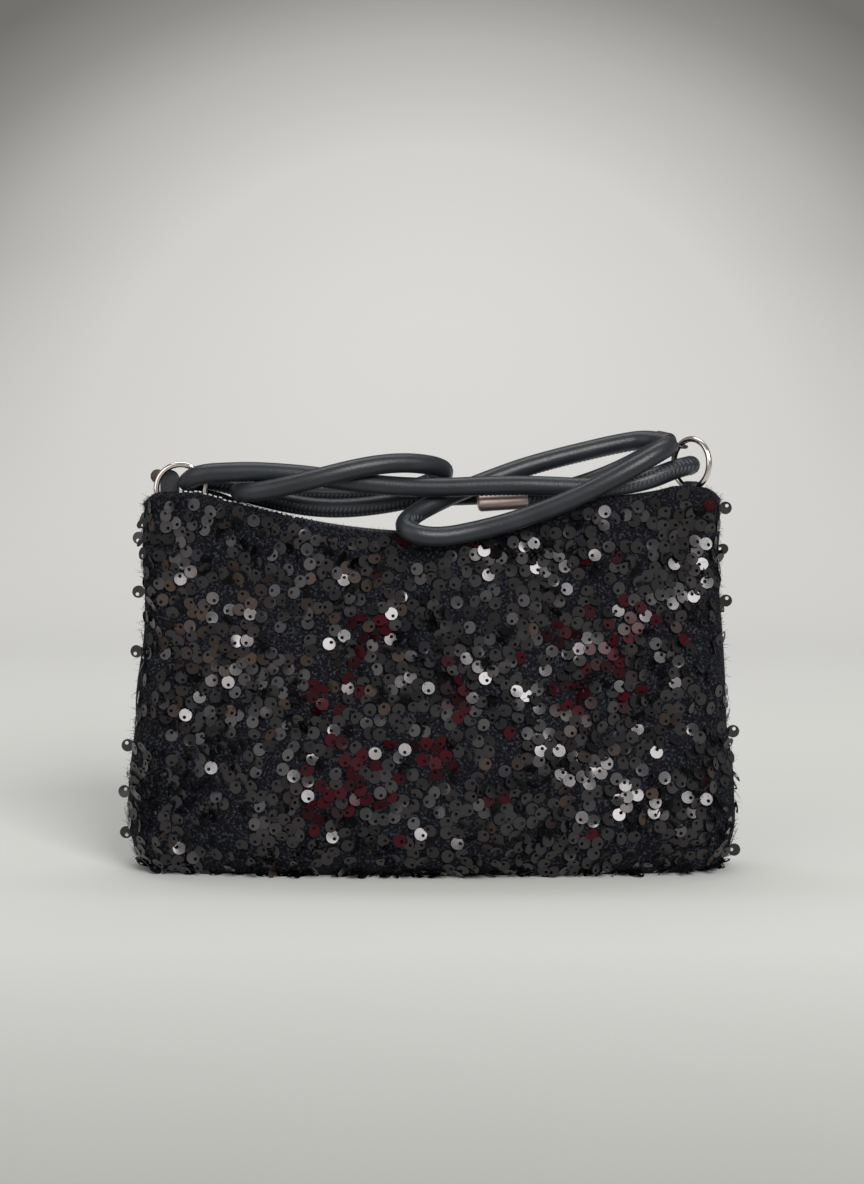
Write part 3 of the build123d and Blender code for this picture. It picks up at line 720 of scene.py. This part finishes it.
# Which way the sewn side of the cord faces, from the route point given onwards.
SEAM_FACES = (
    (0, (0.0, 0.5, -0.8)), (6, (0.3, 0.6, -0.7)), (11, (0.9, 0.4, 0.5)), (14, (0.0, 0.7, 0.7)),
    (18, (0.0, 0.9, -0.3)), (26, (0.0, -0.3, -0.9)), (31, (0.0, -0.9, -0.2)), (36, (0.0, -0.7, -0.6)),
    (41, (0.3, -0.8, -0.4)), (45, (0.0, 0.9, 0.0)), (53, (-0.6, 0.7, 0.1)), (56, (0.0, -0.8, -0.5)),
    (62, (0.2, -0.6, -0.6)), (66, (0.0, 0.4, -0.9)), (78, (0.0, 0.5, -0.85)), (81, (0.0, -0.9, 0.3)),
    (82, (-0.3, -0.8, 0.1)), (90, (0.0, -0.8, -0.4)),
)


def nurbs_curve(name, points):
    """A smooth curve in metres, with these points in mm as its control points."""
    curve = bpy.data.curves.new(name, "CURVE")
    curve.dimensions = "3D"
    spline = curve.splines.new("NURBS")
    spline.points.add(len(points) - 1)
    for place, point in zip(spline.points, points):
        place.co = (*(coordinate * MM for coordinate in point), 1.0)
    spline.order_u = 3
    spline.use_endpoint_u = True
    curve.resolution_u = 10
    return curve


def cord_centreline():
    """Points in mm along the cord, read from a curve without thickness."""
    curve = nurbs_curve("cord_line", STRAP_ROUTE)
    holder = bpy.data.objects.new("cord_line", curve)
    mesh = bpy.data.meshes.new_from_object(holder)
    line = np.array([tuple(vertex.co) for vertex in mesh.vertices]) / MM
    bpy.data.meshes.remove(mesh)
    bpy.data.objects.remove(holder)
    bpy.data.curves.remove(curve)
    return line


def strap_cord():
    """The round cord, as one curve with a bevel."""
    curve = nurbs_curve("strap_cord", STRAP_ROUTE)
    curve.bevel_depth = CORD_DIAMETER / 2
    curve.bevel_resolution = 6
    curve.use_fill_caps = True
    curve.materials.append(CORD_LEATHER)
    cord = bpy.data.objects.new("strap_cord", curve)
    bpy.context.collection.objects.link(cord)
    return cord


def along_line(line, spacing):
    """Even points along a line, with the direction there."""
    steps = np.linalg.norm(np.diff(line, axis=0), axis=1)
    travel = np.concatenate([[0.0], np.cumsum(steps)])
    places = np.arange(spacing / 2, travel[-1], spacing)
    points = np.stack([np.interp(places, travel, line[:, axis]) for axis in range(3)], axis=1)
    ahead = np.stack([np.interp(places + 0.5, travel, line[:, axis]) for axis in range(3)], axis=1)
    behind = np.stack([np.interp(places - 0.5, travel, line[:, axis]) for axis in range(3)], axis=1)
    return points, unit(ahead - behind)


def seam_direction(points, directions):
    """The sewn side's direction at each point, square to the cord."""
    route = np.array(STRAP_ROUTE)
    nearest = np.array([np.argmin(np.sum((route - point) ** 2, axis=1)) for point in points])
    order = np.linspace(0, len(route) - 1, len(points))
    nearest = np.where(np.abs(nearest - order) < 8, nearest, order)
    starts = [start for start, _ in SEAM_FACES]
    faces = np.array([face for _, face in SEAM_FACES])
    wanted = np.stack([np.interp(nearest, starts, faces[:, axis]) for axis in range(3)], axis=1)
    padded = np.pad(wanted, ((SEAM_REACH, SEAM_REACH), (0, 0)), mode="edge")
    window = 2 * SEAM_REACH + 1
    smooth = np.stack([np.convolve(padded[:, axis], np.ones(window) / window, "valid")
                       for axis in range(3)], axis=1)
    return unit(smooth - directions * np.sum(smooth * directions, axis=1, keepdims=True))


# A stitch's cross sections: how far along it each one is, and how full it is there.
CAPSULE_SECTIONS = ((0.0, 0.35), (0.22, 1.0), (0.78, 1.0), (1.0, 0.35))


def capsules(name, starts, ends, ups, width, height, material):
    """Small rounded bars from starts to ends, standing height along ups."""
    along = unit(ends - starts)
    side = np.cross(along, ups)
    corners = []
    for share, swell in CAPSULE_SECTIONS:
        middle = starts + (ends - starts) * share
        for sideways, upwards in ((-0.5, -0.3), (-0.35, 0.7 * swell), (0.35, 0.7 * swell), (0.5, -0.3)):
            corners.append(middle + side * sideways * width * swell + ups * upwards * height)
    vertices = np.stack(corners, axis=1)
    faces = []
    for step in range(3):
        for corner in range(3):
            low = 4 * step + corner
            faces.append((low, low + 4, low + 5, low + 1))
    faces += [(0, 1, 2, 3), (15, 14, 13, 12)]
    offsets = np.arange(len(starts)) * vertices.shape[1]
    all_faces = (np.array(faces)[None] + offsets[:, None, None]).reshape(-1, 4)
    return new_mesh_object(name, vertices.reshape(-1, 3) * MM, all_faces.tolist(), material)


def strap_seam(line):
    """Two rows of slanted stitches, like a plait, along the sewn side of the cord."""
    points, directions = along_line(line, STITCH_PITCH)
    facing = seam_direction(points, directions)
    side = np.cross(directions, facing)
    radius = CORD_DIAMETER / MM / 2
    inner_degrees, outer_degrees = STITCH_ANGLES
    forth, back = STITCH_SLANT
    starts, ends, ups = [], [], []
    for sign in (-1, 1):
        inner_angle = radians(inner_degrees) * sign
        outer_angle = radians(outer_degrees) * sign
        inner = facing * cos(inner_angle) + side * sin(inner_angle)
        outer = facing * cos(outer_angle) + side * sin(outer_angle)
        starts.append(points + inner * radius + directions * forth)
        ends.append(points + outer * radius - directions * back)
        ups.append(unit(inner + outer))
    starts, ends, ups = (np.concatenate(part) for part in (starts, ends, ups))
    return capsules("strap_seam", starts, ends, ups, STITCH_WIDTH, STITCH_HEIGHT, CORD_SEAM)


HEM_HEIGHT = 155.0           # the body's depth at this height is the hem's
HEM_NARROWING = 0.12         # the share of its depth that the hem loses at its ends
HEM_HALF_WIDTH = 116.0
HEM_SINK = 0.1               # how far a stitch sits below the edge
HEM_SHAKE = 0.12


def hem_line(name, first, last, pitch, long, wide, material):
    """A line of stitches along the front hem, from the first X to the last."""
    x = np.arange(first, last, pitch)
    half_depth = BODY_HALF_DEPTH * smooth_through(np.full(len(x), HEM_HEIGHT), 2)
    y = -half_depth * (1.0 - HEM_NARROWING * (x / HEM_HALF_WIDTH) ** 2)
    starts = np.stack([x, y, mouth_height(x, y) - HEM_SINK], axis=1)
    ends = np.stack([x + long, y, mouth_height(x + long, y) - HEM_SINK], axis=1)
    shake = rng.normal(0, HEM_SHAKE, starts.shape)
    ups = unit(np.tile((0.0, -0.5, 0.85), (len(x), 1)))
    stitches = capsules(name, starts + shake, ends + shake, ups, wide, wide * 0.9, material)
    ride_as(stitches)


# the pale line is a painted glint of the zip coil, drawn as pale stitches
hem_line("hem_painted_glints", -108.0, -58.0, 2.1, 1.5, 0.50, HEM_PAINTED_GLINT)
hem_line("hem_knots", -56.0, -2.0, 2.0, 1.0, 1.10, FUZZ)


STUD_RADIUS = 3.1
STUD_FLATNESS = 0.42         # its thickness as a share of its width
STUD_OUTWARDS = 1.3          # its middle, from the tongue's outer edge
STUD_INWARDS = 0.3           # from the tongue's back
STUD_DOWN = 2.9              # from the tongue's top


def tongue_stud():
    """A small domed leather button on the outer edge of the tongue."""
    low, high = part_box("zip_tongue")
    bpy.ops.mesh.primitive_uv_sphere_add(segments=24, ring_count=12, radius=STUD_RADIUS * MM)
    stud = bpy.context.object
    stud.name = "tongue_stud"
    stud.scale = (1.0, STUD_FLATNESS, 1.0)
    stud.location = (low[0] - STUD_OUTWARDS * MM, high[1] - STUD_INWARDS * MM,
                     high[2] - STUD_DOWN * MM)
    stud.data.materials.append(STUD_LEATHER)
    stud.data.polygons.foreach_set("use_smooth", [True] * len(stud.data.polygons))
    ride_as(stud)


tongue_stud()
cord_line = cord_centreline()
strap = strap_cord()
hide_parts("strap")
ride_as(strap)
seam = strap_seam(cord_line)
ride_as(seam)
cord_length = float(np.sum(np.linalg.norm(np.diff(cord_line, axis=0), axis=1))) * MM
print("strap length, m:", round(cord_length, 4))


# ---------------------------------------------------------------- stage
def wall_painted_falloff(nodes, links, place):
    """Painted light falloff: colours by distance from a point behind the object, in the wall's plane,
    darker further away.
    """
    mapping = nodes.new("ShaderNodeMapping")
    mapping.inputs["Location"].default_value = (0.0, 0.0, -0.38)
    mapping.inputs["Scale"].default_value = (1.05, 0.0, 1.35)
    distance = nodes.new("ShaderNodeVectorMath")
    distance.operation = "LENGTH"
    links.new(place, mapping.inputs["Vector"])
    links.new(mapping.outputs["Vector"], distance.inputs[0])
    stops = ((0.10, (0.67, 0.665, 0.64)), (0.45, (0.61, 0.605, 0.58)), (0.69, (0.44, 0.435, 0.415)),
             (0.85, (0.27, 0.265, 0.25)), (1.0, (0.17, 0.165, 0.155)))
    return ramp(nodes, links, distance.outputs["Value"], stops)


def share_between(nodes, links, value, low, high):
    """0 where the value is low, 1 where it is high, and even between."""
    share = nodes.new("ShaderNodeMapRange")
    share.inputs["From Min"].default_value = low
    share.inputs["From Max"].default_value = high
    links.new(value, share.inputs["Value"])
    return share.outputs["Result"]


def backdrop_material():
    """Pale paper with painted light falloff, lightest behind the object and darker away from it."""
    material, nodes, links, shader = new_material("pale_backdrop", (0.7, 0.69, 0.67), 0.9)
    shader.inputs["Specular IOR Level"].default_value = 0.1
    place = nodes.new("ShaderNodeTexCoord").outputs["Object"]
    wall = wall_painted_falloff(nodes, links, place)
    split = nodes.new("ShaderNodeSeparateXYZ")
    links.new(place, split.inputs["Vector"])
    depth = share_between(nodes, links, split.outputs["Y"], -0.6, 1.4)
    # painted light falloff on the floor: darkest at the front, lighter towards the back
    floor_painted_falloff_stops = ((0.05, (0.26, 0.26, 0.245)), (0.23, (0.55, 0.555, 0.53)),
                   (0.5, (0.62, 0.62, 0.59)), (1.0, (0.66, 0.655, 0.63)))
    floor = ramp(nodes, links, depth, floor_painted_falloff_stops)
    mix = nodes.new("ShaderNodeMix")
    mix.data_type = "RGBA"
    upright = share_between(nodes, links, split.outputs["Z"], 0.0, 0.45)
    links.new(upright, mix.inputs["Factor"])
    links.new(floor, mix.inputs[6])
    links.new(wall, mix.inputs[7])
    links.new(mix.outputs[2], shader.inputs["Base Color"])
    return material


def sweep_backdrop():
    """A floor that curves up into a wall behind, in one sheet."""
    width, front, back, bend, height = 6.0, -2.6, 2.4, 1.5, 4.5
    profile = [(front, 0.0), (back - bend, 0.0)]
    profile += [(back - bend + bend * sin(a), bend - bend * cos(a))
                for a in np.linspace(0.06, pi / 2, 24)]
    profile.append((back, height))
    vertices = [(x, y, z) for y, z in profile for x in (-width / 2, width / 2)]
    faces = [(2 * i, 2 * i + 1, 2 * i + 3, 2 * i + 2) for i in range(len(profile) - 1)]
    sheet = new_mesh_object("backdrop", vertices, faces, backdrop_material())


def area_light(name, place, target, size, power, colour):
    """A rectangular lamp at a place, turned to a target."""
    light = bpy.data.lights.new(name, "AREA")
    light.shape = "RECTANGLE"
    light.size, light.size_y = size
    light.energy = power
    light.color = colour
    lamp = bpy.data.objects.new(name, light)
    lamp.location = place
    lamp.rotation_euler = (Vector(target) - Vector(place)).to_track_quat("-Z", "Y").to_euler()
    bpy.context.collection.objects.link(lamp)


def world_light(strength, colour):
    """Even light of one colour from all round."""
    world = bpy.data.worlds.new("studio")
    world.use_nodes = True
    background = world.node_tree.nodes["Background"]
    background.inputs["Color"].default_value = (*colour, 1.0)
    background.inputs["Strength"].default_value = strength
    bpy.context.scene.world = world


sweep_backdrop()
world_light(0.30, (1.0, 0.985, 0.99))
area_light("key", (0.85, -1.9, 1.25), (0.0, 0.0, 0.08), (1.0, 1.1), 56.0, (1.0, 0.99, 0.98))
area_light("fill", (-1.5, -1.5, 0.9), (0.0, 0.0, 0.1), (2.0, 1.8), 16.0, (1.0, 0.985, 0.985))
area_light("top", (-0.2, 0.5, 2.0), (0.0, 0.1, 0.1), (1.6, 1.0), 9.0, (0.97, 0.98, 1.0))
area_light("wall", (0.0, 0.5, 2.4), (0.0, 2.4, 0.5), (2.4, 0.6), 22.0, (0.97, 0.98, 1.0))
